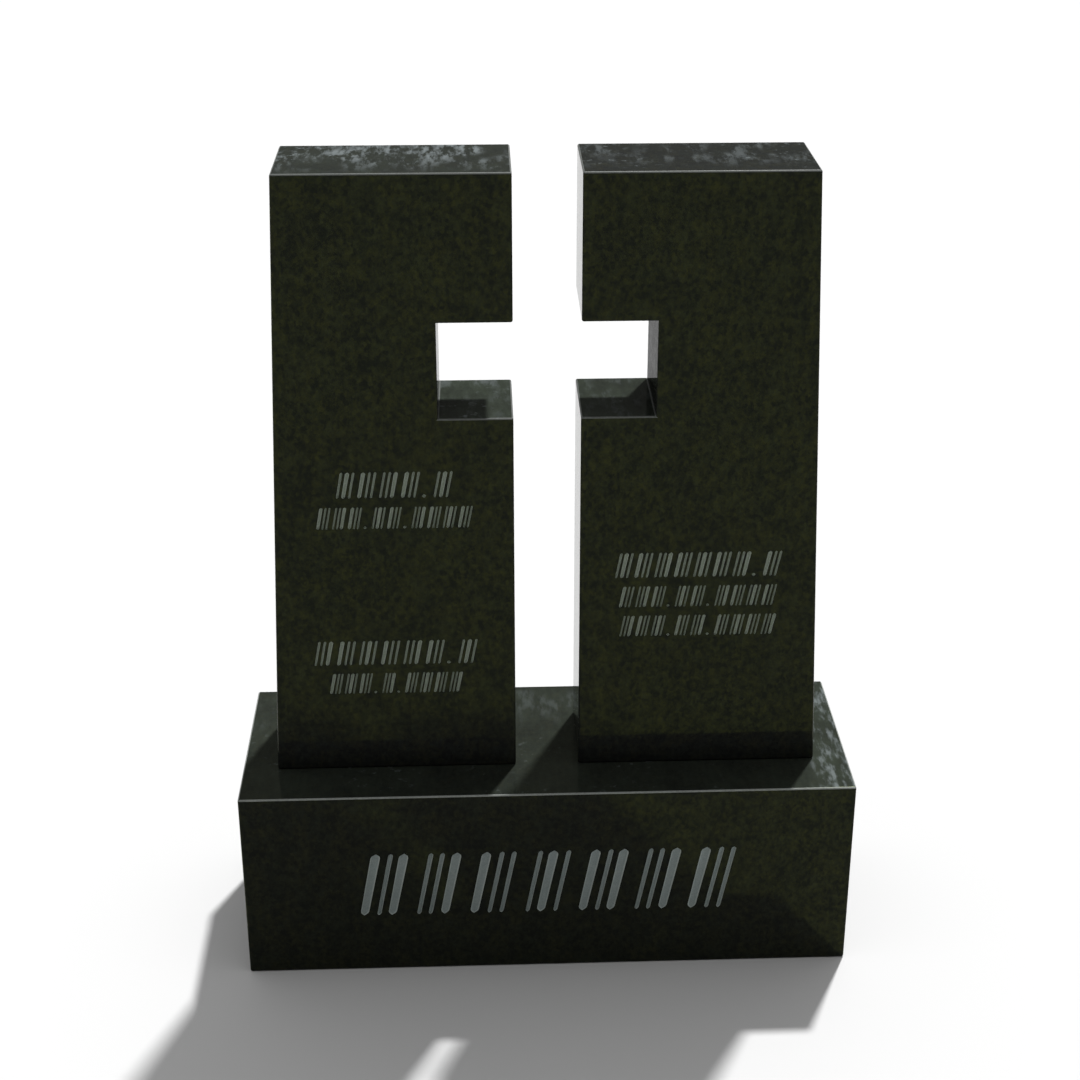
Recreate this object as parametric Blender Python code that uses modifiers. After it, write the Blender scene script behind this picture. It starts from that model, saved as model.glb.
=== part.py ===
"""Companion headstone: two upright tablets of polished black granite on one base block.

The tablets stand apart, and a notch in the inner edge of each gives the opening between them
the shape of a cross. Rows of shallow strokes fill the places of an inscription.
Units are metres and +Z is up. The front faces -Y. The origin is the middle of the underside.
"""
from collections import namedtuple
from math import radians, tan

import bmesh
import bpy

# Base block
BASE_WIDTH = 0.914
BASE_DEPTH = 0.315
BASE_HEIGHT = 0.310

# Tablets, which narrow upwards on their outer edges only
TABLET_HEIGHT = 0.914
TABLET_THICKNESS = 0.152
TABLET_FOOT_WIDTH = 0.358
TABLET_TOP_WIDTH = 0.318
TABLET_SPACING = 0.094
SETTING_GAP = 0.0003

# Arms of the cross, as notches in the inner edges, measured from the tablets' feet
ARM_DEPTH = 0.105
ARM_FOOT = 0.565
ARM_HEIGHT = 0.140

# Eased edge of every block, at the corners that turn by more than this angle
ARRIS = 0.003
CORNER_ANGLE = radians(30)

# Strokes of the inscription: how deep they are sunk, how far they lean to the right, how much wider they
# are at the head than at the middle, the length of their pointed ends as a share of their width, and the
# power with which those ends narrow
LARGE_STROKE_DEPTH = 0.003
SMALL_STROKE_DEPTH = 0.002
STROKE_LEAN = radians(11)
STROKE_FULLNESS = 0.08
STROKE_POINT = 0.45
STROKE_POINT_POWER = 1.5

# How far a cutter stands out of the face that it cuts, and what counts as one point and as one plane
CUTTER_OVERHANG = 0.004
WELD_DISTANCE = 0.00001
FLAT_ANGLE = radians(0.5)

# A mark is three parallel strokes: place across the mark, as a share of the marks' spacing, and weight
Part = namedtuple("Part", "across weight")
LARGE_MARKS = (
    (Part(-0.27, "fine"), Part(-0.03, "broad"), Part(0.24, "fine")),
    (Part(-0.26, "broad"), Part(0.01, "fine"), Part(0.25, "broad")),
    (Part(-0.26, "fine"), Part(-0.05, "fine"), Part(0.21, "broad")),
    (Part(-0.25, "broad"), Part(0.03, "fine"), Part(0.25, "fine")),
)
SMALL_MARKS = (
    (Part(-0.28, "fine"), Part(0.00, "broad"), Part(0.28, "fine")),
    (Part(-0.26, "broad"), Part(0.04, "fine"), Part(0.29, "fine")),
    (Part(-0.28, "fine"), Part(-0.03, "fine"), Part(0.25, "broad")),
    (Part(-0.24, "broad"), Part(0.06, "fine"), Part(0.30, "fine")),
)

# A row's finish: mark height, widths of the broad and fine strokes, straight lengths from a stroke's edge
# to its point, its marks, and, where it has several groups, the space between them and the size of its dots
Style = namedtuple("Style", "height broad fine steps marks group_space dot", defaults=(0.0, 0.0))
FAMILY_STYLE = Style(0.110, 0.0132, 0.0064, steps=3, marks=LARGE_MARKS)
NAME_STYLE = Style(0.040, 0.0053, 0.0031, steps=1, marks=SMALL_MARKS, group_space=0.016, dot=0.0050)
DATE_STYLE = Style(0.034, 0.0043, 0.0024, steps=1, marks=SMALL_MARKS, group_space=0.012, dot=0.0042)

# Rows: height of the foot line above the tablet's foot or the underside, width, and marks in each group
Row = namedtuple("Row", "foot width groups style")
FAMILY_ROW = Row(foot=0.100, width=0.577, groups=(7,), style=FAMILY_STYLE)
LEFT_ROWS = (
    Row(foot=0.446, width=0.168, groups=(4, 1), style=NAME_STYLE),
    Row(foot=0.398, width=0.223, groups=(3, 2, 4), style=DATE_STYLE),
    Row(foot=0.177, width=0.243, groups=(6, 1), style=NAME_STYLE),
    Row(foot=0.129, width=0.197, groups=(3, 1, 4), style=DATE_STYLE),
)
RIGHT_ROWS = (
    Row(foot=0.313, width=0.243, groups=(7, 1), style=NAME_STYLE),
    Row(foot=0.265, width=0.231, groups=(3, 2, 4), style=DATE_STYLE),
    Row(foot=0.217, width=0.231, groups=(3, 2, 4), style=DATE_STYLE),
)

GRANITE_COLOUR = (0.013, 0.015, 0.010, 1.0)
GRANITE_ROUGHNESS = 0.12


def new_collection(name):
    """An empty collection of the scene."""
    collection = bpy.data.collections.new(name)
    bpy.context.scene.collection.children.link(collection)
    return collection


def granite(name):
    """Polished near-black granite with an olive cast."""
    material = bpy.data.materials.new(name)
    material.use_nodes = True
    shader = material.node_tree.nodes["Principled BSDF"]
    shader.inputs["Base Color"].default_value = GRANITE_COLOUR
    shader.inputs["Roughness"].default_value = GRANITE_ROUGHNESS
    shader.inputs["Metallic"].default_value = 0.0
    material.diffuse_color = GRANITE_COLOUR
    return material


def upright_plate(name, outlines, front, back, collection):
    """A flat plate that stands in the XZ plane between two depths, with one body for each closed outline."""
    curve = bpy.data.curves.new(name, "CURVE")
    curve.dimensions = "2D"
    curve.fill_mode = "BOTH"
    curve.extrude = (back - front) / 2
    for outline in outlines:
        spline = curve.splines.new("POLY")
        spline.points.add(len(outline) - 1)
        for point, (x, z) in zip(spline.points, outline):
            point.co = (x, z, 0.0, 1.0)
        spline.use_cyclic_u = True
    drawn = bpy.data.objects.new(name + "_outline", curve)
    drawn.rotation_euler = (radians(90), 0.0, 0.0)
    drawn.location = (0.0, (front + back) / 2, 0.0)
    collection.objects.link(drawn)
    bpy.context.view_layer.update()
    evaluated = drawn.evaluated_get(bpy.context.evaluated_depsgraph_get())
    mesh = bpy.data.meshes.new_from_object(evaluated)
    mesh.name = name
    plate = bpy.data.objects.new(name, mesh)
    plate.matrix_world = drawn.matrix_world.copy()
    collection.objects.link(plate)
    bpy.data.objects.remove(drawn)
    close_mesh(mesh)
    return plate


def close_mesh(mesh):
    """Welds a plate's loose caps to its sides, merges flat triangles and turns every face outwards."""
    cage = bmesh.new()
    cage.from_mesh(mesh)
    bmesh.ops.remove_doubles(cage, verts=cage.verts, dist=WELD_DISTANCE)
    bmesh.ops.dissolve_limit(cage, angle_limit=FLAT_ANGLE, verts=cage.verts, edges=cage.edges)
    bmesh.ops.recalc_face_normals(cage, faces=cage.faces)
    cage.to_mesh(mesh)
    cage.free()


def block(name, width, depth, height, collection):
    """A rectangular block that stands on the origin's plane."""
    bpy.ops.mesh.primitive_cube_add(size=1.0, location=(0.0, 0.0, height / 2))
    solid = bpy.context.object
    solid.name = name
    solid.data.name = name
    solid.scale = (width, depth, height)
    bpy.ops.object.transform_apply(location=False, rotation=False, scale=True)
    for owner in solid.users_collection:
        owner.objects.unlink(solid)
    collection.objects.link(solid)
    return solid


def ease_edges(solid):
    """Bevels every outer corner of a block and leaves the inner corners of a notch sharp."""
    cage = bmesh.new()
    cage.from_mesh(solid.data)
    weight = cage.edges.layers.float.new("bevel_weight_edge")
    for edge in cage.edges:
        outer_corner = edge.is_convex and edge.calc_face_angle() > CORNER_ANGLE
        edge[weight] = 1.0 if outer_corner else 0.0
    cage.to_mesh(solid.data)
    cage.free()
    bevel = solid.modifiers.new("arris", "BEVEL")
    bevel.limit_method = "WEIGHT"
    bevel.width = ARRIS
    bevel.segments = 1


def tablet_outline(side):
    """Corners of a tablet, from the inner foot round to the outer foot, with the notch of the arm."""
    inner = TABLET_SPACING / 2
    arm_head = ARM_FOOT + ARM_HEIGHT
    half = (
        (inner, 0.0),
        (inner, ARM_FOOT),
        (inner + ARM_DEPTH, ARM_FOOT),
        (inner + ARM_DEPTH, arm_head),
        (inner, arm_head),
        (inner, TABLET_HEIGHT),
        (inner + TABLET_TOP_WIDTH, TABLET_HEIGHT),
        (inner + TABLET_FOOT_WIDTH, 0.0),
    )
    return [(side * x, BASE_HEIGHT + SETTING_GAP + z) for x, z in half]


def face_middle(side, height):
    """Middle of a tablet's face at a height above its foot, where its outer edge has drawn in."""
    taper = (TABLET_FOOT_WIDTH - TABLET_TOP_WIDTH) / TABLET_HEIGHT
    return side * (TABLET_SPACING + TABLET_FOOT_WIDTH - taper * height) / 2


def stroke_outline(x, foot, head, width, steps):
    """A leaning stroke with near-parallel edges, a little wider at the head, and short points."""
    middle = (foot + head) / 2
    half_length = (head - foot) / 2
    point = STROKE_POINT * width / half_length
    ways = [step / steps for step in range(steps + 1)]
    upper_end = [(1 - way ** STROKE_POINT_POWER, 1 - point + point * way) for way in ways]
    lower_end = [(share, -place) for share, place in reversed(upper_end)]
    edge = [
        (share * (1 + STROKE_FULLNESS * place) * width / 2, place)
        for share, place in lower_end + upper_end
    ]
    left_edge = [(-half, place) for half, place in edge][-2:0:-1]
    return [
        (x + half + tan(STROKE_LEAN) * half_length * place, middle + half_length * place)
        for half, place in edge + left_edge
    ]


def dot_outline(x, foot, size):
    """A small upright lozenge on the row's foot line."""
    half = size / 2
    return [(x, foot), (x + half, foot + half), (x, foot + size), (x - half, foot + half)]


def mark_outlines(parts, x, foot, pitch, style):
    """The parallel strokes of one mark."""
    widths = {"broad": style.broad, "fine": style.fine}
    head = foot + style.height
    return [
        stroke_outline(x + part.across * pitch, foot, head, widths[part.weight], style.steps)
        for part in parts
    ]


def row_outlines(row, middle, floor, first_mark):
    """All strokes of a row: its groups of marks, with a dot after each group but the last."""
    style = row.style
    foot = floor + row.foot
    marks = sum(row.groups)
    pitch = (row.width - (len(row.groups) - 1) * style.group_space) / marks
    x = middle - row.width / 2 + pitch / 2
    outlines = []
    turn = first_mark
    for number, group in enumerate(row.groups):
        for _ in range(group):
            outlines += mark_outlines(style.marks[turn % len(style.marks)], x, foot, pitch, style)
            x += pitch
            turn += 1
        if number < len(row.groups) - 1:
            outlines.append(dot_outline(x - pitch / 2 + style.group_space / 4, foot, style.dot))
            x += style.group_space
    return outlines


def sink(solid, name, outlines, face, depth, collection):
    """Cuts flat-bottomed strokes into the front face of a block."""
    cutter = upright_plate(name, outlines, face - CUTTER_OVERHANG, face + depth, collection)
    cutter.display_type = "WIRE"
    cutter.hide_render = True
    cut = solid.modifiers.new(name, "BOOLEAN")
    cut.operation = "DIFFERENCE"
    cut.solver = "EXACT"
    cut.object = cutter


def make_base(parts, cutters):
    """The base block with its one row of large marks."""
    base = block("base", BASE_WIDTH, BASE_DEPTH, BASE_HEIGHT, parts)
    ease_edges(base)
    strokes = row_outlines(FAMILY_ROW, 0.0, 0.0, 1)
    sink(base, "base_strokes", strokes, -BASE_DEPTH / 2, LARGE_STROKE_DEPTH, cutters)
    return base


def make_tablet(name, side, rows, parts, cutters):
    """One tablet, set on the middle of the base's depth, with its rows of small marks."""
    face = -TABLET_THICKNESS / 2
    tablet = upright_plate(name, [tablet_outline(side)], face, -face, parts)
    ease_edges(tablet)
    strokes = []
    for number, row in enumerate(rows):
        middle = face_middle(side, row.foot + row.style.height / 2)
        strokes += row_outlines(row, middle, BASE_HEIGHT + SETTING_GAP, number)
    sink(tablet, name + "_strokes", strokes, face, SMALL_STROKE_DEPTH, cutters)
    return tablet


def build():
    """Makes the whole headstone under one empty."""
    for thing in list(bpy.data.objects):
        bpy.data.objects.remove(thing)
    parts = new_collection("companion_headstone")
    cutters = new_collection("stroke_cutters")
    stands = bpy.data.objects.new("headstone_origin", None)
    parts.objects.link(stands)
    stones = (
        make_base(parts, cutters),
        make_tablet("left_tablet", -1, LEFT_ROWS, parts, cutters),
        make_tablet("right_tablet", 1, RIGHT_ROWS, parts, cutters),
    )
    for stone in stones:
        stone.parent = stands
        stone.data.materials.append(granite(stone.name + "_granite"))


build()
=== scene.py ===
"""Companion headstone: the finish of two polished granite tablets on one base block.

Each stone is a block with softly rounded edges, worked out over its outline and its section.
The rows of shallow strokes are troughs cut into the front faces, frosted as a blast leaves them.
Units are metres and +Z is up. The front faces -Y.
"""

from collections import namedtuple
from math import cos, pi, radians, sin, tan

import bmesh
import bpy
import numpy as np
from bpy.props import FloatProperty, FloatVectorProperty, IntProperty, PointerProperty
from bpy.types import Operator, Panel, PropertyGroup
from mathutils import Matrix, Vector


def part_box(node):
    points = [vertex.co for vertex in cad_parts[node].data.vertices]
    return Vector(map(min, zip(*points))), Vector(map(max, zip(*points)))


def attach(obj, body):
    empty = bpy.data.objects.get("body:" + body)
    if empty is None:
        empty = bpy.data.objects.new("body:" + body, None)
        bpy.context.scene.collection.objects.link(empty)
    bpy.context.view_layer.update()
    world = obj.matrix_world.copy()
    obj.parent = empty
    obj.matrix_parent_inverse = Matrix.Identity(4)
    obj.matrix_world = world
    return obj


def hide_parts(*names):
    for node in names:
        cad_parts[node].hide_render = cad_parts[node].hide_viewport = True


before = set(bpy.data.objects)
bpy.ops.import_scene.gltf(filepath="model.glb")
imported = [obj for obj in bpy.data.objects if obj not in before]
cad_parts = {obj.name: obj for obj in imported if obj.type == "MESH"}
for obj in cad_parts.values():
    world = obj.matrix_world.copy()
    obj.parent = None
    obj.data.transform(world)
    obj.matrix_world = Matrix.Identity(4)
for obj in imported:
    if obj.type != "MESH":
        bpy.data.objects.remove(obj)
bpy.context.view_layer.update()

bl_info = {
    "name": "Companion Headstone",
    "version": (1, 0, 0),
    "blender": (4, 5, 0),
    "location": "3D View > Sidebar > Headstone",
    "description": "Dresses a companion headstone of two tablets on a base in black granite",
    "category": "Add Mesh",
}

# Where the stones stand, from the frame
BASE_LOW, BASE_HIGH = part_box("base")
LEFT_LOW, LEFT_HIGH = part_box("left_tablet")
RIGHT_LOW, RIGHT_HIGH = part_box("right_tablet")

# Marks of the rows, as three parallel strokes: place across the mark, as a share of the marks'
# spacing, and weight, 0 for a fine stroke and 1 for a broad one
LARGE_MARKS = np.array((
    ((-0.27, 0), (-0.03, 1), (0.24, 0)),
    ((-0.26, 1), (0.01, 0), (0.25, 1)),
    ((-0.26, 0), (-0.05, 0), (0.21, 1)),
    ((-0.25, 1), (0.03, 0), (0.25, 0)),
))
SMALL_MARKS = np.array((
    ((-0.28, 0), (0.00, 1), (0.28, 0)),
    ((-0.26, 1), (0.04, 0), (0.29, 0)),
    ((-0.28, 0), (-0.03, 0), (0.25, 1)),
    ((-0.24, 1), (0.06, 0), (0.30, 0)),
))

# A row's finish: height of the marks, widths of the broad and fine strokes, space between groups,
# size of a dot, marks
Style = namedtuple("Style", "height broad fine group_space dot marks")
FAMILY_STYLE = Style(0.110, 0.0132, 0.0064, group_space=0.0, dot=0.0, marks=LARGE_MARKS)
NAME_STYLE = Style(0.040, 0.0053, 0.0031, group_space=0.016, dot=0.0050, marks=SMALL_MARKS)
DATE_STYLE = Style(0.034, 0.0043, 0.0024, group_space=0.012, dot=0.0042, marks=SMALL_MARKS)

# Rows: height of the foot line above the stone's foot, width, marks in each group, finish, and
# which mark comes first
Row = namedtuple("Row", "foot width groups style first")
FAMILY_ROW = Row(0.100, 0.577, (7,), FAMILY_STYLE, first=1)
LEFT_ROWS = (
    Row(0.446, 0.168, (4, 1), NAME_STYLE, first=0),
    Row(0.398, 0.223, (3, 2, 4), DATE_STYLE, first=1),
    Row(0.177, 0.243, (6, 1), NAME_STYLE, first=2),
    Row(0.129, 0.197, (3, 1, 4), DATE_STYLE, first=3),
)
RIGHT_ROWS = (
    Row(0.313, 0.243, (7, 1), NAME_STYLE, first=0),
    Row(0.265, 0.231, (3, 2, 4), DATE_STYLE, first=1),
    Row(0.217, 0.231, (3, 2, 4), DATE_STYLE, first=2),
)

# How dusty each stone's upward faces are, how many pale pools they have towards the back and by
# the right end, how many specks, and how pale its eased edges are, as shares of the usual. The
# pools and specks are painted reflections of bright sky, and the pale eased edges a painted
# highlight
Weather = namedtuple("Weather", "film behind beside specks edge")
BASE_WEATHER = Weather(film=0.72, behind=0.10, beside=0.45, specks=0.3, edge=2.0)
LEFT_WEATHER = Weather(film=0.55, behind=0.58, beside=0.0, specks=0.8, edge=1.0)
RIGHT_WEATHER = Weather(film=0.12, behind=0.26, beside=0.0, specks=0.5, edge=1.0)

# Plans of the stones: the node that each dresses, its lowest and highest corners, rows and weather
Plan = namedtuple("Plan", "node low high rows weather")
BASE = Plan("base", BASE_LOW, BASE_HIGH, (FAMILY_ROW,), BASE_WEATHER)
LEFT_TABLET = Plan("left_tablet", LEFT_LOW, LEFT_HIGH, LEFT_ROWS, LEFT_WEATHER)
RIGHT_TABLET = Plan("right_tablet", RIGHT_LOW, RIGHT_HIGH, RIGHT_ROWS, RIGHT_WEATHER)

# Outlines of strokes and dots: length of the pointed ends as a share of the width, how much wider
# the head is than the middle, the lean, and the steps along and across. The ends narrow with a
# power, and so does a trough's floor towards its sides.
Cut = namedtuple("Cut", "point fullness lean along across")
STROKE_POINT = 0.45
STROKE_POINT_POWER = 1.5
STROKE_FULLNESS = 0.08
STROKE_STEPS = (24, 12)
DOT_CUT = Cut(point=0.5, fullness=0.0, lean=0.0, along=8, across=8)
TROUGH_POWER = 3

# How far into a group's space its dot stands, as a share of it, how far the cutters stand out of
# the face, how near to each other points are one, and the angle from which an edge looks sharp
DOT_PLACE = 0.25
CUTTER_OVERHANG = 0.004
WELD_DISTANCE = 0.000001
SHARP_ANGLE = radians(30)

# Material slots of a stone, in order, and the parts of a face's normal at which they change. The
# slot after SAWN serves both unpolished strips and the painted highlight on eased edges that lean
# up
POLISHED, FROSTED, UPWARD, SAWN, HONED_AND_HIGHLIGHT, WALL = range(6)
FLAT_NORMAL = 0.97
LEANING_NORMAL = 0.25

# Grain of the granite: waves or crystals a metre, and the weight of each in the share of crystals,
# how much of that share the dark ground takes off, and how much the grain is drawn out upwards
Grain = namedtuple("Grain", "scale weight")
GRAIN_CLOUDS = Grain(scale=30.0, weight=1.4)
BLOTCHES = Grain(scale=115.0, weight=2.3)
CRYSTALS = Grain(scale=210.0, weight=0.50)
FINE_GRAINS = Grain(scale=820.0, weight=0.18)
DARK_GROUND = 1.78
UPRIGHT_SCALE = 0.8

# How strong the reflections of the ground and of the crystals are, as shares of the polish's level,
# and how much rougher than the smoothest crystal the roughest is. The crystals' stronger, tinted
# reflections are partly painted reflection of green surroundings
GROUND_GLOSS = 0.53
CRYSTAL_GLOSS = 1.72
POLISH_SPREAD = 0.03

# Patterns: waves a metre, detail and roughness of the noise, and the range of it that runs from
# none to all. A scale draws the streaks, drops and puddles out from front to back.
Pattern = namedtuple("Pattern", "scale detail roughness low high")
KINDS = Pattern(60.0, 3.0, 0.8, low=0.40, high=0.60)
STREAKS = Pattern(120.0, 3.0, 0.5, low=0.30, high=0.75)
DUST_CLOUDS = Pattern(14.0, 3.0, 0.6, low=0.30, high=0.70)
SPECKS = Pattern(75.0, 4.0, 0.6, low=0.58, high=0.72)
SPECK_PATCHES = Pattern(7.0, 2.0, 0.5, low=0.48, high=0.62)
DROPS = Pattern(78.0, 4.0, 0.6, low=0.44, high=0.66)
DROP_PATCHES = Pattern(16.0, 1.0, 0.5, low=0.36, high=0.62)
PUDDLES = Pattern(90.0, 4.0, 0.6, low=0.46, high=0.70)
STREAK_SCALE = 0.30

# Where the dust and the painted pale reflections gather. Shelter goes from all to none between two
# depths below a stone's top, the back from none to all between two distances in from it, and the
# right end from none to all between two places to the right of the middle.
SHELTERED = (0.20, 0.10)
BEHIND = (0.165, 0.050)
BESIDE = (0.385, 0.420)

# Shares of the film of dust: the least of it, and what streaks, clouds, grit and shelter add. The
# streaks are partly painted reflection of upright surroundings, and the shelter's film partly
# painted light that lifts a notch floor's shade
FILM_LEAST = 0.24
FILM_STREAKS = 0.24
FILM_CLOUDS = 0.34
FILM_GRIT = 0.12
FILM_SHELTER = 0.9

# Shares of the specks, of the pools in shelter, and of the others that shelter keeps off, all
# painted reflections of bright sky, and how much rougher than the polish the pools and the film are
SPECK_SHARE = 0.6
POOL_SHELTER = 0.12
POOL_KEPT_OFF = 0.8
POOL_ROUGHNESS = 0.30
FILM_ROUGHNESS = 0.06

# Paleness of a blasted stroke: what the rim, pits and patches add, and what is taken off, and the
# depth of the rim as a share of the stroke's. The pale rim is a painted highlight
BLASTED_RIM = 0.70
BLASTED_PITS = 0.28
BLASTED_PATCHES = 0.16
BLASTED_LESS = 0.10
RIM_DEPTH = 0.8

# What grains and wear take off the pale haze of an eased edge, which is painted highlight, and of
# an unpolished strip
HONED_GRAINS = 0.22
HONED_WEAR = 0.28

# How dark the grains of a sawn face are, as a share of the rest, how far they show, and the scale
# that draws its kerfs out from side to side
SAWN_DARK = 0.45
SAWN_GRAINS = 0.6
KERF_SCALE = 0.05

# Finish of the faces that aren't polished: least roughness, and what pits, grains or kerfs add to
# it, and strength of the reflections
Matt = namedtuple("Matt", "least spread")
FROSTED_MATT = Matt(least=0.62, spread=0.15)
HONED_MATT = Matt(least=0.45, spread=0.10)
SAWN_MATT = Matt(least=0.60, spread=0.20)
MATT_LEVEL = 0.25

# Steps round the floor, how far it lies below the underside, and how far off the key lamp is drawn
FLOOR_STEPS = 96
FLOOR_GAP = 0.0002
KEY_DISTANCE = 5.0

# Where the light of the surroundings changes, as parts of a direction of length one: upwards to
# overhead, upwards to the end of the pale band, and backwards from the front to the side
SKY_OVERHEAD = (0.35, 1.0)
SKY_BAND = (0.04, 0.13)
SKY_BEHIND = (-0.9, 0.0)

# The picture is square. The focal length and the point that the lens looks at are in its pixels.
PICTURE_SIDE = 1080
FOCAL_PIXELS = 1913.478
LENS_CENTRE = (560, 487)
SENSOR_WIDTH = 36.0
NEAR_CLIP = 0.05
FAR_CLIP = 100.0

# Numbers of the parts of a vector
X, Y, Z = range(3)


class StoneSizes(PropertyGroup):
    """Sizes of the stones that the frame's boxes don't give."""

    tablet_top_width: FloatProperty(
        name="Tablet top width",
        description="Width of a tablet's top, where its outer edge has drawn in",
        default=0.318,
        unit="LENGTH",
    )
    arm_depth: FloatProperty(
        name="Arm depth",
        description="How far the notch of the cross's arm goes into a tablet",
        default=0.105,
        unit="LENGTH",
    )
    arm_foot: FloatProperty(
        name="Arm foot",
        description="Height of the notch's floor above the tablet's foot",
        default=0.565,
        unit="LENGTH",
    )
    arm_height: FloatProperty(
        name="Arm height",
        description="Height of the notch",
        default=0.140,
        unit="LENGTH",
    )
    edge_radius: FloatProperty(
        name="Edge radius",
        description="Radius of the softly rounded edges",
        default=0.003,
        unit="LENGTH",
    )
    edge_steps: IntProperty(
        name="Edge steps",
        description="Straight lengths round a rounded edge",
        default=6,
    )
    corner_strip: FloatProperty(
        name="Corner strip",
        description="Width of the unpolished strip on both sides of a notch's inner corner",
        default=0.0018,
        unit="LENGTH",
    )
    large_stroke_depth: FloatProperty(
        name="Large stroke depth",
        description="Depth of the base's strokes",
        default=0.003,
        unit="LENGTH",
    )
    small_stroke_depth: FloatProperty(
        name="Small stroke depth",
        description="Depth of the tablets' strokes",
        default=0.002,
        unit="LENGTH",
    )
    stroke_lean: FloatProperty(
        name="Stroke lean",
        description="How far the strokes lean to the right",
        default=radians(11),
        subtype="ANGLE",
    )


class GraniteFinish(PropertyGroup):
    """Colours and gloss of the granite."""

    dark_mineral: FloatVectorProperty(
        name="Dark mineral",
        description="Near-black ground of the polished granite",
        default=(0.0103, 0.0112, 0.0108),
        subtype="COLOR",
    )
    # The crystals' green and olive tints are partly grain and partly painted reflection of green
    # surroundings
    green_mineral: FloatVectorProperty(
        name="Green mineral",
        description="Grey-green crystals in the polished granite",
        default=(0.0166, 0.0190, 0.0168),
        subtype="COLOR",
    )
    olive_mineral: FloatVectorProperty(
        name="Olive mineral",
        description="Olive-brown crystals in the polished granite",
        default=(0.0200, 0.0206, 0.0145),
        subtype="COLOR",
    )
    dust: FloatVectorProperty(
        name="Dust",
        description="Thin film that weather leaves on faces that look up",
        default=(0.036, 0.044, 0.033),
        subtype="COLOR",
    )
    # Painted reflection of bright sky, drawn as dried drops and specks
    reflection_fleck: FloatVectorProperty(
        name="Pale fleck",
        description="Dried drops and specks on faces that look up",
        default=(0.23, 0.26, 0.27),
        subtype="COLOR",
    )
    blasted: FloatVectorProperty(
        name="Blasted floor",
        description="Frosted floor of a sunk stroke",
        default=(0.166, 0.196, 0.146),
        subtype="COLOR",
    )
    large_blasted: FloatVectorProperty(
        name="Large blasted floor",
        description="Frosted floor of a large stroke",
        default=(0.200, 0.237, 0.232),
        subtype="COLOR",
    )
    # Painted highlight along the rim of a sunk stroke
    rim_highlight: FloatVectorProperty(
        name="Bruised rim",
        description="Paler rim of a sunk stroke",
        default=(0.43, 0.475, 0.445),
        subtype="COLOR",
    )
    # Pale grey of unpolished strips, and painted highlight on eased edges that lean up
    honed_and_highlight: FloatVectorProperty(
        name="Honed edge",
        description="Pale grey of the eased edges and of what the polish doesn't reach",
        default=(0.150, 0.160, 0.150),
        subtype="COLOR",
    )
    sawn: FloatVectorProperty(
        name="Sawn underside",
        description="Rough grey of a sawn face",
        default=(0.085, 0.090, 0.084),
        subtype="COLOR",
    )
    # The sheens tint the reflections yellow-green: painted reflection of green surroundings
    sheen: FloatVectorProperty(
        name="Sheen",
        description="Tint of the reflections in the crystals and in dusty faces",
        default=(0.86, 1.0, 0.06),
        subtype="COLOR",
    )
    ground_sheen: FloatVectorProperty(
        name="Ground sheen",
        description="Tint of the reflections in the dark ground",
        default=(0.75, 1.0, 0.26),
        subtype="COLOR",
    )
    polish_roughness: FloatProperty(
        name="Polish roughness",
        description="Roughness of the polished faces",
        default=0.07,
        min=0.0,
        max=1.0,
        subtype="FACTOR",
    )
    polish_level: FloatProperty(
        name="Polish level",
        description="Strength of the polished faces' reflections",
        default=0.075,
        min=0.0,
        max=1.0,
        subtype="FACTOR",
    )
    wall_level: FloatProperty(
        name="Wall level",
        description="Strength of the reflections in a notch's wall, which is hard to polish",
        default=0.001,
        min=0.0,
        max=1.0,
        subtype="FACTOR",
    )
    dusty_level: FloatProperty(
        name="Dusty level",
        description="Strength of the reflections under the film of dust",
        default=0.05,
        min=0.0,
        max=1.0,
        subtype="FACTOR",
    )


class Studio(PropertyGroup):
    """Floor, light and camera."""

    floor_radius: FloatProperty(
        name="Floor radius",
        description="Radius of the round floor",
        default=20.0,
        unit="LENGTH",
    )
    floor_colour: FloatVectorProperty(
        name="Floor colour",
        description="Colour of the plain floor",
        default=(0.62, 0.62, 0.62),
        subtype="COLOR",
    )
    sky_low: FloatProperty(
        name="Low light",
        description="Brightness of the surroundings at the horizon",
        default=0.13,
    )
    horizon: FloatProperty(
        name="Horizon light",
        description="Brightness of the pale band that the surroundings end in above the floor",
        default=0.80,
    )
    sky_high: FloatProperty(
        name="High light",
        description="Brightness of the surroundings overhead",
        default=1.0,
    )
    sky_front: FloatProperty(
        name="Front light",
        description="Brightness of the surroundings in front, as a share of that behind",
        default=0.25,
        min=0.0,
        max=1.0,
        subtype="FACTOR",
    )
    key_strength: FloatProperty(
        name="Key strength",
        description="Strength of the light from behind and to the right",
        default=4.2,
    )
    key_azimuth: FloatProperty(
        name="Key azimuth",
        description="How far the key light stands to the right of straight behind",
        default=radians(25),
        subtype="ANGLE",
    )
    key_elevation: FloatProperty(
        name="Key elevation",
        description="Height of the key light above the horizon",
        default=radians(59),
        subtype="ANGLE",
    )
    key_spread: FloatProperty(
        name="Key spread",
        description="Breadth of the key light as seen from the stone",
        default=radians(3),
        subtype="ANGLE",
    )
    camera_place: FloatVectorProperty(
        name="Camera place",
        description="Where the camera stands",
        default=(-0.0934, -2.5397, 1.8826),
        subtype="TRANSLATION",
    )
    camera_pitch: FloatProperty(
        name="Camera pitch",
        description="How far the camera looks down",
        default=0.4240,
        subtype="ANGLE",
    )
    camera_yaw: FloatProperty(
        name="Camera yaw",
        description="How far the camera is turned to the left",
        default=-0.0452,
        subtype="ANGLE",
    )
    camera_roll: FloatProperty(
        name="Camera roll",
        description="How far the camera is rolled about its line of sight",
        default=0.0038,
        subtype="ANGLE",
    )


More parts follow.
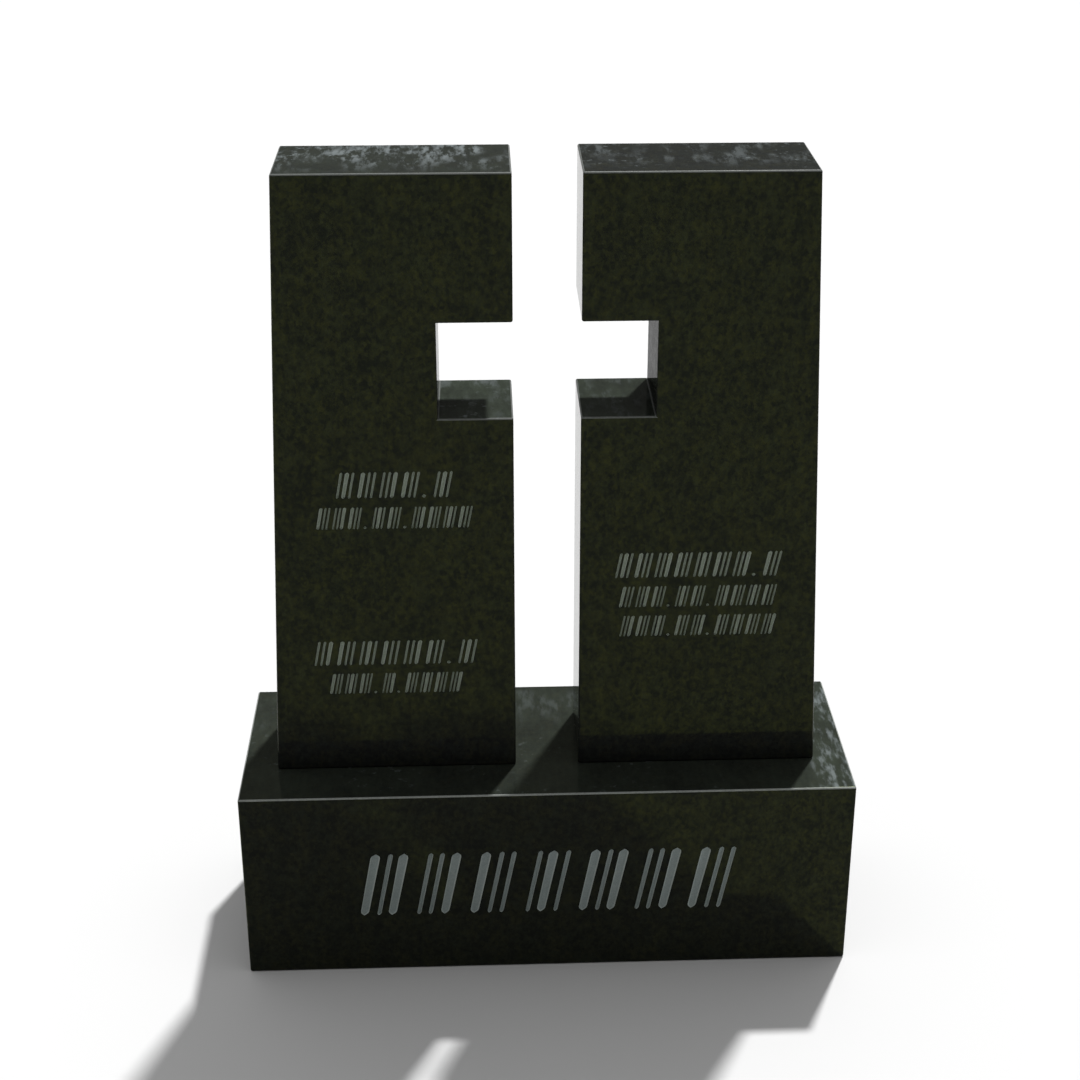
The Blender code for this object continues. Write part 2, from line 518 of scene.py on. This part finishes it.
class Value:
    """A socket that adds Math nodes when it is used in an expression."""

    def __init__(self, tree, socket):
        self.tree = tree
        self.socket = socket

    def maths(self, operation, *operands):
        """One Math node, with this class's sockets linked and numbers set."""
        node = self.tree.nodes.new("ShaderNodeMath")
        node.operation = operation
        for place, operand in zip(node.inputs, operands):
            if isinstance(operand, Value):
                self.tree.links.new(operand.socket, place)
            else:
                place.default_value = operand
        return Value(self.tree, node.outputs[0])

    def __add__(self, other):
        return self.maths("ADD", self, other)

    def __radd__(self, other):
        return self.maths("ADD", other, self)

    def __sub__(self, other):
        return self.maths("SUBTRACT", self, other)

    def __rsub__(self, other):
        return self.maths("SUBTRACT", other, self)

    def __mul__(self, other):
        return self.maths("MULTIPLY", self, other)

    def __rmul__(self, other):
        return self.maths("MULTIPLY", other, self)


class Shading:
    """A node tree in the making, with one method that adds any node."""

    def __init__(self, tree):
        self.tree = tree
        tree.nodes.clear()

    def add(self, kind, settings=None, output=0, **sockets):
        """A node of a kind: its settings, then its sockets' values or links. Gives one output.

        A socket goes by its name, or by i and its number where several share a name.
        """
        node = self.tree.nodes.new(kind)
        for name, value in (settings or {}).items():
            setattr(node, name, value)
        for name, value in sockets.items():
            key = int(name[1:]) if name[0] == "i" and name[1:].isdigit() else name.replace("_", " ")
            if isinstance(value, Value):
                self.tree.links.new(value.socket, node.inputs[key])
            else:
                node.inputs[key].default_value = value
        return Value(self.tree, node.outputs[output]) if node.outputs else node

    def mix_colour(self, share, first, second):
        """Mixes two colours by a share of the second, through the Mix node's colour sockets."""
        sockets = {"i0": share, "i6": colour(first), "i7": colour(second)}
        return self.add("ShaderNodeMix", {"data_type": "RGBA"}, output=2, **sockets)

    def noise(self, place, scale, detail=2.0, roughness=0.5):
        """Smooth noise from 0 to 1 with so many waves a metre."""
        sockets = {"Scale": scale, "Detail": detail, "Roughness": roughness}
        return self.add("ShaderNodeTexNoise", Vector=place, **sockets)

    def cells(self, place, scale):
        """A random value from 0 to 1 for each crystal, with so many crystals a metre."""
        tint = self.add("ShaderNodeTexVoronoi", output=1, Vector=place, Scale=scale)
        return self.add("ShaderNodeSeparateColor", Color=tint)

    def part(self, vector, number):
        """One of a vector's three parts."""
        return self.add("ShaderNodeSeparateXYZ", output=number, Vector=vector)

    def stretch(self, value, low, high):
        """Takes a value's range from low to high up to 0 to 1, with soft ends."""
        settings = {"interpolation_type": "SMOOTHSTEP"}
        return self.add("ShaderNodeMapRange", settings, i0=value, i1=low, i2=high)

    def pattern(self, place, pattern):
        """A pattern's noise, stretched over its range."""
        noise = self.noise(place, pattern.scale, pattern.detail, pattern.roughness)
        return self.stretch(noise, pattern.low, pattern.high)

    def object_place(self):
        """The object's own coordinates."""
        return self.add("ShaderNodeTexCoord", output=3)


def colour(value):
    """A colour of three numbers as four, and anything else as it is."""
    return value if isinstance(value, Value) else (*value, 1.0)


def new_material(name):
    """A material with an empty node tree, and the tree."""
    material = bpy.data.materials.new(name)
    material.use_nodes = True
    return material, Shading(material.node_tree)


def close_material(shading, **sockets):
    """Ends a material in one Principled shader."""
    shader = shading.add("ShaderNodeBsdfPrincipled", **sockets)
    shading.add("ShaderNodeOutputMaterial", Surface=shader)


def granite_grain(shading, place):
    """Shares of crystals in the dark ground, and of olive ones among the crystals.

    The share is the sum of clouds of 30 mm, blotches of 9 mm, crystals of 5 mm and grains of 1 mm,
    each times its weight, less the ground's.
    """
    upright = shading.add("ShaderNodeMapping", Vector=place, Scale=(1.0, 1.0, UPRIGHT_SCALE))
    clouds = shading.noise(place, GRAIN_CLOUDS.scale, detail=4.0, roughness=0.8)
    blotches = shading.noise(upright, BLOTCHES.scale, detail=4.0, roughness=0.72)
    crystals = shading.cells(upright, CRYSTALS.scale)
    grains = shading.cells(place, FINE_GRAINS.scale)
    share = clouds * GRAIN_CLOUDS.weight + blotches * BLOTCHES.weight
    share = share + crystals * CRYSTALS.weight + grains * FINE_GRAINS.weight - DARK_GROUND
    return share, shading.pattern(upright, KINDS)


def granite_colour(shading, finish, share, kinds):
    """Near-black ground with grey-green and olive crystals, whose tints are partly the stone's
    grain and partly painted reflection of green surroundings.
    """
    crystal = shading.mix_colour(kinds, finish.green_mineral, finish.olive_mineral)
    return shading.mix_colour(share, finish.dark_mineral, crystal)


def polish_normal(shading, place):
    """The faint long waves that hand polishing leaves in a flat face."""
    waves = shading.noise(place, scale=9.0, detail=1.0)
    return shading.add("ShaderNodeBump", Strength=0.02, Distance=0.01, Height=waves)


def polished_granite(name, finish, level):
    """Granite with a mirror polish, whose reflections are as strong as the level.

    The crystals mirror more of the light than the dark ground does, and in a yellower tint: partly
    the stone's grain and partly painted reflection of green surroundings. They are the first
    shader of the mix, which is the one that an export keeps the gloss of.
    """
    material, shading = new_material(name)
    place = shading.object_place()
    share, kinds = granite_grain(shading, place)
    spread = shading.cells(place, scale=260.0) * POLISH_SPREAD
    looks = {
        "Base_Color": granite_colour(shading, finish, share, kinds),
        "Roughness": spread + finish.polish_roughness,
        "Normal": polish_normal(shading, place),
    }
    crystals, ground = (
        shading.add(
            "ShaderNodeBsdfPrincipled",
            Specular_IOR_Level=level * gloss,
            Specular_Tint=colour(tint),
            **looks,
        )
        for gloss, tint in ((CRYSTAL_GLOSS, finish.sheen), (GROUND_GLOSS, finish.ground_sheen))
    )
    mixed = shading.add("ShaderNodeMixShader", i0=1.0 - share, i1=crystals, i2=ground)
    shading.add("ShaderNodeOutputMaterial", Surface=mixed)
    return material


def upward_granite(finish, weather, high):
    """Polished granite under a thin film of dust, with streaks and pale specks.

    The pale specks, drops and pools, towards the back and by the base's right end, are painted
    reflections of bright sky, shaped as dried water. On a notch's floor the film is thicker, partly
    dust that rain doesn't wash off and partly painted light that lifts the floor's shade, and the
    pale pools lie thinly all over.
    """
    material, shading = new_material("weathered_granite_and_painted_reflection")
    place = shading.object_place()
    drawn_out = shading.add("ShaderNodeMapping", Vector=place, Scale=(1.0, STREAK_SCALE, 1.0))
    below_top = (high.z - depth for depth in SHELTERED)
    from_back = (high.y - depth for depth in BEHIND)
    sheltered = 1.0 - shading.stretch(shading.part(place, Z), *below_top)
    behind = shading.stretch(shading.part(place, Y), *from_back)
    beside = shading.stretch(shading.part(place, X), *BESIDE)

    streaks = shading.pattern(drawn_out, STREAKS)
    clouds = shading.pattern(place, DUST_CLOUDS)
    grit = shading.cells(place, scale=700.0)
    # Besides dust, the right end's share is painted reflection of bright sky, and the shelter's
    # share painted light that lifts a notch floor's shade
    amount = sheltered * FILM_SHELTER + beside * weather.beside + weather.film
    film = FILM_LEAST + streaks * FILM_STREAKS + clouds * FILM_CLOUDS + grit * FILM_GRIT
    film = film * amount

    # Specks, drops and puddles are painted reflections of bright sky, shaped as dried water
    specks = shading.pattern(place, SPECKS) * shading.pattern(place, SPECK_PATCHES)
    drops = shading.pattern(drawn_out, DROPS) * shading.pattern(place, DROP_PATCHES)
    puddles = shading.pattern(drawn_out, PUDDLES)
    shares = behind * weather.behind * (1.0 - sheltered * POOL_KEPT_OFF) + sheltered * POOL_SHELTER
    pools = drops * shares + puddles * beside * weather.beside
    pale = shading.add("ShaderNodeClamp", i0=specks * SPECK_SHARE * weather.specks + pools)

    stone = granite_colour(shading, finish, *granite_grain(shading, place))
    dusty = shading.mix_colour(film, stone, finish.dust)
    close_material(
        shading,
        Base_Color=shading.mix_colour(pale, dusty, finish.reflection_fleck),
        Roughness=pale * POOL_ROUGHNESS + film * FILM_ROUGHNESS + finish.polish_roughness,
        Specular_IOR_Level=finish.dusty_level,
        Specular_Tint=colour(finish.sheen),
        Normal=polish_normal(shading, place),
    )
    return material


def frosted_granite(blasted, rim_highlight, face, depth):
    """Blasted stroke: pitted grey, paler towards the rim, where the paleness is a painted
    highlight.

    The rim's share falls from one at the face to nothing at a share of the stroke's depth.
    """
    material, shading = new_material("frosted_granite")
    place = shading.object_place()
    rim = 1.0 - shading.stretch(shading.part(place, Y), face, face + depth * RIM_DEPTH)
    pits = shading.cells(place, scale=900.0)
    patches = shading.noise(place, scale=160.0)
    share = rim * BLASTED_RIM + pits * BLASTED_PITS + patches * BLASTED_PATCHES - BLASTED_LESS
    bumps = shading.noise(place, scale=1400.0)
    close_material(
        shading,
        Base_Color=shading.mix_colour(share, blasted, rim_highlight),
        Roughness=pits * FROSTED_MATT.spread + FROSTED_MATT.least,
        Specular_IOR_Level=MATT_LEVEL,
        Normal=shading.add("ShaderNodeBump", Strength=0.35, Distance=0.0006, Height=bumps),
    )
    return material


def honed_and_highlight_granite(finish, pale):
    """Eased edge and unpolished strip, ground but not polished: stone under a pale haze, thinner on
    some grains. On eased edges that lean up, the pale haze is a painted highlight.
    """
    material, shading = new_material("honed_and_highlight_granite")
    place = shading.object_place()
    grains = shading.cells(place, scale=700.0)
    wear = shading.noise(place, scale=40.0, detail=3.0)
    haze = 1.0 - grains * HONED_GRAINS - wear * HONED_WEAR
    stone = granite_colour(shading, finish, *granite_grain(shading, place))
    close_material(
        shading,
        Base_Color=shading.mix_colour(haze, stone, pale),
        Roughness=grains * HONED_MATT.spread + HONED_MATT.least,
        Specular_IOR_Level=MATT_LEVEL,
    )
    return material


def sawn_granite(finish):
    """Sawn face with fine parallel kerf lines."""
    material, shading = new_material("sawn_granite")
    place = shading.object_place()
    drawn_out = shading.add("ShaderNodeMapping", Vector=place, Scale=(KERF_SCALE, 1.0, 1.0))
    kerfs = shading.noise(drawn_out, scale=420.0, detail=3.0)
    grains = shading.cells(place, scale=500.0) * SAWN_GRAINS
    dark = tuple(part * SAWN_DARK for part in finish.sawn)
    close_material(
        shading,
        Base_Color=shading.mix_colour(grains, finish.sawn, dark),
        Roughness=kerfs * SAWN_MATT.spread + SAWN_MATT.least,
        Specular_IOR_Level=MATT_LEVEL,
        Normal=shading.add("ShaderNodeBump", Strength=0.4, Distance=0.001, Height=kerfs),
    )
    return material


def turned_edges(corners, radius, steps):
    """Core points and directions of a closed outline whose outer corners are rounded.

    The corners run anticlockwise. Each is drawn in by the radius along its mitre to a core point.
    At an outer corner the direction swings from one side's normal to the next in equal steps, so
    that core plus radius times direction is an arc. At an inner corner the direction is the mitre
    itself, and the corner stays sharp.
    """
    corners = np.asarray(corners, float)
    sides = np.roll(corners, -1, axis=0) - corners
    sides /= np.linalg.norm(sides, axis=1, keepdims=True)
    after = np.stack((sides[:, 1], -sides[:, 0]), axis=1)
    before = np.roll(after, 1, axis=0)
    mitres = (before + after) / (1 + np.sum(before * after, axis=1, keepdims=True))
    turns = np.cross(np.roll(sides, 1, axis=0), sides)
    starts = np.arctan2(before[:, 1], before[:, 0])
    swings = np.arctan2(turns, np.sum(before * after, axis=1))
    drawn_in = corners - radius * mitres
    cores, directions = [], []
    for core, mitre, turn, start, swing in zip(drawn_in, mitres, turns, starts, swings):
        if turn > 0:
            angles = start + swing * np.linspace(0, 1, steps + 1)
            arc = np.stack((np.cos(angles), np.sin(angles)), axis=1)
        else:
            arc = mitre[None]
        cores.append(np.repeat(core[None], len(arc), axis=0))
        directions.append(arc)
    return np.concatenate(cores), np.concatenate(directions)


def block_surface(corners, front, back, radius, steps):
    """Points and faces of an upright block with rounded edges.

    A point is the core outline's point plus the radius times the cosine of the section angle, along
    the outline's direction. Its depth is the front, drawn in by the radius, less the radius times
    the sine. The section runs from the front face through a quarter circle to the side, and from
    there in the same way to the back.
    """
    cores, directions = turned_edges(corners, radius, steps)
    quarter = np.linspace(pi / 2, 0, steps + 1)
    angles = np.concatenate((quarter, -quarter[::-1]))
    reach = radius * np.cos(angles)
    depths = np.repeat((front + radius, back - radius), steps + 1) - radius * np.sin(angles)
    flat = cores[None] + reach[:, None, None] * directions[None]
    rows, around = flat.shape[:2]
    points = np.empty((rows, around, 3))
    points[..., X] = flat[..., 0]
    points[..., Y] = depths[:, None]
    points[..., Z] = flat[..., 1]
    front_face = list(range(around))
    back_face = list(range(rows * around - 1, (rows - 1) * around - 1, -1))
    faces = tube_faces(rows, around).tolist()
    return points.reshape(-1, 3), [*faces, front_face, back_face]


def tube_faces(rows, around):
    """Four-sided faces between the closed rings of a grid, row by row."""
    place = np.arange(rows * around).reshape(rows, around)
    beside = np.roll(place, -1, axis=1)
    return np.stack((place[:-1], place[1:], beside[1:], beside[:-1]), axis=-1).reshape(-1, 4)


def new_piece(name, points, faces):
    """An object at the origin with its doubles merged and its faces turned outwards."""
    mesh = bpy.data.meshes.new(name)
    mesh.from_pydata(points.tolist(), [], faces)
    cage = bmesh.new()
    cage.from_mesh(mesh)
    bmesh.ops.remove_doubles(cage, verts=cage.verts, dist=WELD_DISTANCE)
    bmesh.ops.recalc_face_normals(cage, faces=cage.faces)
    cage.to_mesh(mesh)
    cage.free()
    piece = bpy.data.objects.new(name, mesh)
    bpy.context.scene.collection.objects.link(piece)
    return piece


def row_strokes(row, middle, foot):
    """Strokes and dots of a row, each as a table of place, foot, head and width.

    Marks stand a pitch apart, with a group's space after each group. A stroke stands across its
    mark by a share of the pitch and is as high as the row.
    """
    style = row.style
    count = sum(row.groups)
    pitch = (row.width - (len(row.groups) - 1) * style.group_space) / count
    group = np.repeat(np.arange(len(row.groups)), row.groups)
    centres = middle - row.width / 2 + pitch * (np.arange(count) + 0.5) + style.group_space * group
    marks = style.marks[(row.first + np.arange(count)) % len(style.marks)]
    across, weight = np.moveaxis(marks, -1, 0)
    places = centres[:, None] + across * pitch
    widths = style.fine + weight * (style.broad - style.fine)
    ends = np.cumsum(row.groups)[:-1] - 1
    dot_places = centres[ends] + pitch / 2 + style.group_space * DOT_PLACE
    strokes = stroke_table(places, foot, style.height, widths)
    return strokes, stroke_table(dot_places, foot, style.dot, style.dot)


def stroke_table(places, foot, height, widths):
    """A table with a line of place, foot, head and width for each stroke or dot."""
    columns = np.broadcast_arrays(places, foot, foot + height, widths)
    return np.stack(columns, axis=-1).reshape(-1, len(columns))


def trough_points(table, cut, face, depth):
    """Closed rings of the cutters for some strokes.

    Along a stroke t runs from -1 at the foot to 1 at the head. The end share is one, and over each
    pointed end it falls to nothing with a power of the way to the tip. The half width is the end
    share, times one plus the fullness times t, times half the width, and the middle line leans.
    Across the stroke c runs from -1 to 1, and the depth is one less c to the trough's power, times
    the root of the end share. Two points in front of the face close each ring.
    """
    place, low, high, width = table.T[:, :, None]
    t = np.sin(pi / 2 * np.linspace(-1, 1, cut.along + 1))[None]
    point = 2 * cut.point * width / (high - low)
    end = 1 - np.clip((np.abs(t) - 1 + point) / point, 0, 1) ** STROKE_POINT_POWER
    half = end * (1 + cut.fullness * t) * width / 2
    middles = (low + high) / 2 + (high - low) / 2 * t
    centres = place + tan(cut.lean) * (high - low) / 2 * t
    c = -np.cos(pi * np.linspace(0, 1, cut.across + 1))
    ring_across = np.concatenate((c, (1.0, -1.0)))
    ring_drop = np.concatenate((1 - np.abs(c) ** TROUGH_POWER, (0.0, 0.0)))
    ring_rise = np.concatenate((np.zeros(len(c)), (CUTTER_OVERHANG, CUTTER_OVERHANG)))
    points = np.empty((*half.shape, len(ring_across), 3))
    points[..., X] = centres[..., None] + half[..., None] * ring_across
    points[..., Y] = face + depth * np.sqrt(end)[..., None] * ring_drop - ring_rise
    points[..., Z] = middles[..., None]
    return points


def cut_strokes(piece, plan, middles, depth, lean):
    """Sinks a stone's rows into its front face, with the troughs in the frosted material."""
    stroke_cut = Cut(STROKE_POINT, STROKE_FULLNESS, lean, *STROKE_STEPS)
    points, faces, start = [], [], 0
    for row, middle in zip(plan.rows, middles):
        strokes, dots = row_strokes(row, middle, plan.low.z + row.foot)
        for table, cut in ((strokes, stroke_cut), (dots, DOT_CUT)):
            grid = trough_points(table, cut, plan.low.y, depth)
            count, rings, around = grid.shape[:3]
            first = start + np.arange(count)[:, None, None] * rings * around
            points.append(grid.reshape(-1, 3))
            faces.append((tube_faces(rings, around)[None] + first).reshape(-1, 4))
            start += count * rings * around
    faces = np.concatenate(faces).tolist()
    cutter = new_piece(piece.name + "_cutter", np.concatenate(points), faces)
    for material in piece.data.materials:
        cutter.data.materials.append(material)
    frosted = np.full(len(cutter.data.polygons), FROSTED, np.int32)
    cutter.data.polygons.foreach_set("material_index", frosted)
    carve = piece.modifiers.new("strokes", "BOOLEAN")
    carve.operation = "DIFFERENCE"
    carve.solver = "EXACT"
    carve.object = cutter
    evaluated = piece.evaluated_get(bpy.context.evaluated_depsgraph_get())
    carved = bpy.data.meshes.new_from_object(evaluated)
    piece.modifiers.clear()
    piece.data = carved
    bpy.data.objects.remove(cutter)


def face_slots(mesh, inner_corners, strip):
    """Gives a stone's faces their material slots by where they look and lie.

    Flat tops are dusty, edges that lean up get a pale painted highlight and undersides are sawn.
    The upright wall between a notch's two inner corners is duller than the rest. The strips beside
    them, whose centres lie within the strip's width of a corner, are unpolished and share the
    edges' pale slot, so they come after the wall.
    """
    count = len(mesh.polygons)
    normals = np.empty((count, 3), np.float32)
    centres = np.empty((count, 3), np.float32)
    slots = np.empty(count, np.int32)
    mesh.polygons.foreach_get("normal", normals.ravel())
    mesh.polygons.foreach_get("center", centres.ravel())
    mesh.polygons.foreach_get("material_index", slots)
    stone = slots != FROSTED
    upward = normals[:, Z]
    underneath = centres[:, Z] < BASE_LOW.z + WELD_DISTANCE
    sideways = np.abs(normals[:, X]) > FLAT_NORMAL
    # Eased edges that lean up take the pale slot, a painted highlight
    slots[stone & (upward > LEANING_NORMAL)] = HONED_AND_HIGHLIGHT
    slots[stone & (upward > FLAT_NORMAL)] = UPWARD
    slots[stone & (upward < -FLAT_NORMAL) & underneath] = SAWN
    for across, _ in inner_corners:
        slots[stone & sideways & (np.abs(centres[:, X] - across) < strip)] = WALL
    for across, height in inner_corners:
        away = np.hypot(centres[:, X] - across, centres[:, Z] - height)
        slots[stone & (away < strip) & (np.abs(normals[:, Y]) < LEANING_NORMAL)] = HONED_AND_HIGHLIGHT
    mesh.polygons.foreach_set("material_index", slots)


def dress_stone(plan, corners, inner_corners, middles, depth):
    """Makes one stone, cuts its rows, shades it and sets it in the frame."""
    sizes = bpy.context.scene.headstone_sizes
    finish = bpy.context.scene.headstone_finish
    node, low, high, weather = plan.node, plan.low, plan.high, plan.weather
    points, faces = block_surface(corners, low.y, high.y, sizes.edge_radius, sizes.edge_steps)
    stone = new_piece(node + "_stone", points, faces)
    blasted = finish.large_blasted if plan is BASE else finish.blasted
    for material in (
        polished_granite("polished_granite", finish, finish.polish_level),
        frosted_granite(blasted, finish.rim_highlight, low.y, depth),
        upward_granite(finish, weather, high),
        sawn_granite(finish),
        # Pale haze of unpolished strips, and painted highlight on eased edges, by the weather's
        # edge share
        honed_and_highlight_granite(finish, tuple(part * weather.edge for part in finish.honed_and_highlight)),
        polished_granite("dull_wall", finish, finish.wall_level),
    ):
        stone.data.materials.append(material)
    cut_strokes(stone, plan, middles, depth, sizes.stroke_lean)
    face_slots(stone.data, inner_corners, sizes.corner_strip)
    stone.data.shade_smooth()
    stone.data.set_sharp_from_angle(angle=SHARP_ANGLE)
    even = stone.modifiers.new("flat_faces", "WEIGHTED_NORMAL")
    even.keep_sharp = True
    even.weight = 100
    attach(stone, "root")
    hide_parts(node)


def tablet_corners(plan, side, sizes):
    """Corners of a tablet in the XZ plane, anticlockwise, and its inner corners.

    The side is -1 for the left tablet and 1 for the right one. Beside each inner corner of the
    notch stand two more points, where its unpolished strip ends.
    """
    low, high = plan.low, plan.high
    inner = high.x if side < 0 else low.x
    strip = sizes.corner_strip
    arm_foot = low.z + sizes.arm_foot
    arm_head = arm_foot + sizes.arm_height
    arm_end = sizes.arm_depth
    half = [
        (0.0, low.z),
        (high.x - low.x, low.z),
        (sizes.tablet_top_width, high.z),
        (0.0, high.z),
        (0.0, arm_head),
        (arm_end - strip, arm_head),
        (arm_end, arm_head),
        (arm_end, arm_head - strip),
        (arm_end, arm_foot + strip),
        (arm_end, arm_foot),
        (arm_end - strip, arm_foot),
        (0.0, arm_foot),
    ]
    corners = [(inner + side * across, height) for across, height in half]
    inner_corners = [(inner + side * arm_end, height) for height in (arm_foot, arm_head)]
    return (corners if side > 0 else corners[::-1]), inner_corners


def face_middles(plan, side, sizes):
    """Middles of a tablet's face at its rows' mid heights, where the outer edge has drawn in."""
    low, high = plan.low, plan.high
    inner = high.x if side < 0 else low.x
    foot_width = high.x - low.x
    taper = (foot_width - sizes.tablet_top_width) / (high.z - low.z)
    heights = [row.foot + row.style.height / 2 for row in plan.rows]
    return [inner + side * (foot_width - taper * height) / 2 for height in heights]


class HEADSTONE_OT_base(Operator):
    """Makes the base block with its row of large strokes"""

    bl_idname = "headstone.base"
    bl_label = "Base stone"

    def execute(self, context):
        low, high = BASE.low, BASE.high
        corners = [(low.x, low.z), (high.x, low.z), (high.x, high.z), (low.x, high.z)]
        middle = (low.x + high.x) / 2
        depth = context.scene.headstone_sizes.large_stroke_depth
        dress_stone(BASE, corners, (), (middle,), depth)
        return {"FINISHED"}


class HEADSTONE_OT_tablets(Operator):
    """Makes the two tablets with their rows of small strokes"""

    bl_idname = "headstone.tablets"
    bl_label = "Tablets"

    def execute(self, context):
        sizes = context.scene.headstone_sizes
        for plan, side in ((LEFT_TABLET, -1), (RIGHT_TABLET, 1)):
            corners, inner_corners = tablet_corners(plan, side, sizes)
            middles = face_middles(plan, side, sizes)
            dress_stone(plan, corners, inner_corners, middles, sizes.small_stroke_depth)
        return {"FINISHED"}


class HEADSTONE_OT_stage(Operator):
    """Makes the pale floor, the soft light and the camera"""

    bl_idname = "headstone.stage"
    bl_label = "Stage"

    def execute(self, context):
        scene = context.scene
        studio = scene.headstone_studio
        make_floor(studio)
        make_surroundings(scene, studio)
        make_key(scene, studio)
        make_camera(scene, studio)
        scene.view_settings.view_transform = "Standard"
        return {"FINISHED"}


def make_floor(studio):
    """A round floor, worked out over radius and angle, just below the base's foot."""
    angles = np.linspace(0, 2 * pi, FLOOR_STEPS, endpoint=False)
    points = np.empty((FLOOR_STEPS, 3))
    points[:, X] = studio.floor_radius * np.cos(angles)
    points[:, Y] = studio.floor_radius * np.sin(angles)
    points[:, Z] = BASE_LOW.z - FLOOR_GAP
    floor = new_piece("floor", points, [list(range(FLOOR_STEPS))])
    material, shading = new_material("plain_floor")
    close_material(
        shading,
        Base_Color=colour(studio.floor_colour),
        Roughness=0.9,
        Specular_IOR_Level=0.0,
    )
    floor.data.materials.append(material)


def make_surroundings(scene, studio):
    """Pale light from all round, brighter overhead and behind.

    The share of the high light is a soft step of the height from a third to overhead. The light in
    front is a share of the light behind, with a soft step between. A band just above the floor is
    as pale as the floor.
    """
    scene.world = bpy.data.worlds.new("soft_light")
    scene.world.use_nodes = True
    shading = Shading(scene.world.node_tree)
    direction = shading.add("ShaderNodeTexCoord")
    height = shading.part(direction, Z)
    overhead = shading.stretch(height, *SKY_OVERHEAD)
    band = 1.0 - shading.stretch(height, *SKY_BAND)
    behind = shading.stretch(shading.part(direction, Y), *SKY_BEHIND)
    strength = overhead * (studio.sky_high - studio.sky_low) + studio.sky_low
    strength = strength * (behind * (1.0 - studio.sky_front) + studio.sky_front)
    strength = strength + band * studio.horizon
    light = shading.add("ShaderNodeBackground", Color=(1.0, 1.0, 1.0, 1.0), Strength=strength)
    shading.add("ShaderNodeOutputWorld", Surface=light)


def make_key(scene, studio):
    """One lamp far off, behind and to the right, that shines towards the front left."""
    lamp = bpy.data.lights.new("key", "SUN")
    lamp.energy = studio.key_strength
    lamp.angle = studio.key_spread
    key = bpy.data.objects.new("key", lamp)
    level = cos(studio.key_elevation)
    towards = Vector((
        level * sin(studio.key_azimuth),
        level * cos(studio.key_azimuth),
        sin(studio.key_elevation),
    ))
    key.rotation_euler = towards.to_track_quat("Z", "Y").to_euler()
    key.location = towards * KEY_DISTANCE
    scene.collection.objects.link(key)


def make_camera(scene, studio):
    """The camera where the picture was taken from, turned by yaw, then pitch, then roll."""
    yaw, pitch, roll = studio.camera_yaw, studio.camera_pitch, studio.camera_roll
    right = Vector((cos(yaw), sin(yaw), 0.0))
    ahead = Vector((-sin(yaw), cos(yaw), 0.0))
    up = Vector((0.0, 0.0, 1.0))
    sight = cos(pitch) * ahead - sin(pitch) * up
    tilted_up = sin(pitch) * ahead + cos(pitch) * up
    rolled_right = cos(roll) * right + sin(roll) * tilted_up
    rolled_up = cos(roll) * tilted_up - sin(roll) * right
    data = bpy.data.cameras.new("camera")
    data.sensor_width = SENSOR_WIDTH
    data.lens = FOCAL_PIXELS / PICTURE_SIDE * SENSOR_WIDTH
    data.shift_x = 0.5 - LENS_CENTRE[0] / PICTURE_SIDE
    data.shift_y = LENS_CENTRE[1] / PICTURE_SIDE - 0.5
    data.clip_start = NEAR_CLIP
    data.clip_end = FAR_CLIP
    camera = bpy.data.objects.new("camera", data)
    camera.matrix_world = Matrix.Translation(studio.camera_place) @ Matrix((
        (rolled_right.x, rolled_up.x, -sight.x, 0.0),
        (rolled_right.y, rolled_up.y, -sight.y, 0.0),
        (rolled_right.z, rolled_up.z, -sight.z, 0.0),
        (0.0, 0.0, 0.0, 1.0),
    ))
    scene.collection.objects.link(camera)
    scene.camera = camera


class HEADSTONE_PT_panel(Panel):
    """Lists the headstone's settings and the operators that make it"""

    bl_idname = "HEADSTONE_PT_panel"
    bl_label = "Companion Headstone"
    bl_space_type = "VIEW_3D"
    bl_region_type = "UI"
    bl_category = "Headstone"

    def draw(self, context):
        layout = self.layout
        for operator in OPERATORS:
            layout.operator(operator.bl_idname)
        for group in GROUPS:
            settings = getattr(context.scene, group)
            box = layout.box()
            for name in settings.bl_rna.properties.keys():
                if name not in ("rna_type", "name"):
                    box.prop(settings, name)


OPERATORS = (HEADSTONE_OT_base, HEADSTONE_OT_tablets, HEADSTONE_OT_stage)
GROUPS = {
    "headstone_sizes": StoneSizes,
    "headstone_finish": GraniteFinish,
    "headstone_studio": Studio,
}


def register():
    """Registers the classes and gives the scene its settings."""
    for part in (*GROUPS.values(), *OPERATORS, HEADSTONE_PT_panel):
        bpy.utils.register_class(part)
    for name, group in GROUPS.items():
        setattr(bpy.types.Scene, name, PointerProperty(type=group))


def unregister():
    """Takes back what register did."""
    for name in GROUPS:
        delattr(bpy.types.Scene, name)
    for part in (HEADSTONE_PT_panel, *reversed(OPERATORS), *reversed(GROUPS.values())):
        bpy.utils.unregister_class(part)


def main():
    """Makes the stones and the stage."""
    register()
    bpy.ops.headstone.stage()
    bpy.ops.headstone.base()
    bpy.ops.headstone.tablets()
    bpy.context.view_layer.update()


if __name__ == "__main__":
    main()
